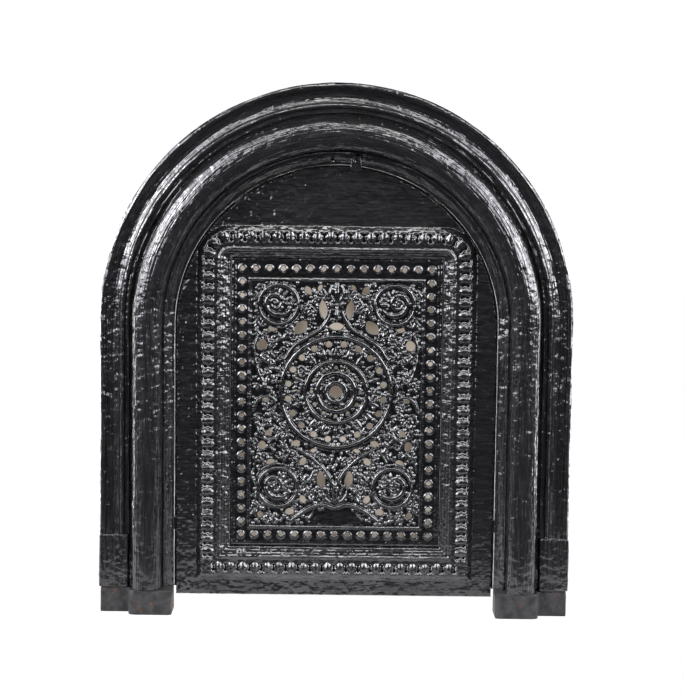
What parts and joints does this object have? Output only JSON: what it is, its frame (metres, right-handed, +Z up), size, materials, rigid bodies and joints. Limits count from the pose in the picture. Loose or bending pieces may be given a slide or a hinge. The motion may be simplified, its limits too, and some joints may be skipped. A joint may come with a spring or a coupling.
{
  "type": "fireplace summer cover",
  "caption": "Arched cast-iron fireplace surround with a pierced summer cover that hangs inside it and swings out at the foot, held by a turning catch at the crown.",
  "frame": {"origin": "middle of the footprint, on the hearth, half way between the front of the great roll and the back of the hanging hooks", "axes": "+Z up, -Y towards the room (the front), +X to the right seen from the front"},
  "size_m": [0.672, 0.0572, 0.7559],
  "materials": {
    "gloss_black_paint": "thick gloss black stove enamel brushed over rough cast iron",
    "bare_cast_iron": "bare graphite-grey casting with rust in the corners",
    "wrought_iron": "dark unpainted bar iron",
    "steel_fasteners": "dull steel"
  },
  "bodies": {
    "surround": {"surround_frame": "gloss_black_paint", "left_plinth_block": "gloss_black_paint", "right_plinth_block": "gloss_black_paint", "plinth_screws": "steel_fasteners", "left_foot": "bare_cast_iron", "right_foot": "bare_cast_iron", "foot_bolts": "steel_fasteners", "foot_nuts": "steel_fasteners", "stop_pin": "gloss_black_paint", "catch_rivet": "gloss_black_paint", "left_pin_bracket": "wrought_iron", "right_pin_bracket": "wrought_iron", "left_hanging_pin": "steel_fasteners", "right_hanging_pin": "steel_fasteners", "bracket_screws": "steel_fasteners", "left_rest_bar": "wrought_iron", "right_rest_bar": "wrought_iron", "rest_screws": "steel_fasteners"},
    "cover": {"cover_plate": "gloss_black_paint", "fret_grille": "gloss_black_paint", "grille_screws": "steel_fasteners", "left_hanging_hook": "wrought_iron", "right_hanging_hook": "wrought_iron", "hook_rivets": "steel_fasteners"},
    "catch": {"crown_catch": "gloss_black_paint"}
  },
  "joints": [
    {"name": "cover_swing", "type": "hinge", "parent": "surround", "child": "cover", "pos_m": [0, 0.02265, 0.5932], "axis": [-1, 0, 0], "range_deg": [0, 12]},
    {"name": "catch_turn", "type": "hinge", "parent": "surround", "child": "catch", "pos_m": [0.025, -0.0036, 0.64688], "axis": [0, -1, 0], "range_deg": [0, 90]}
  ]
}
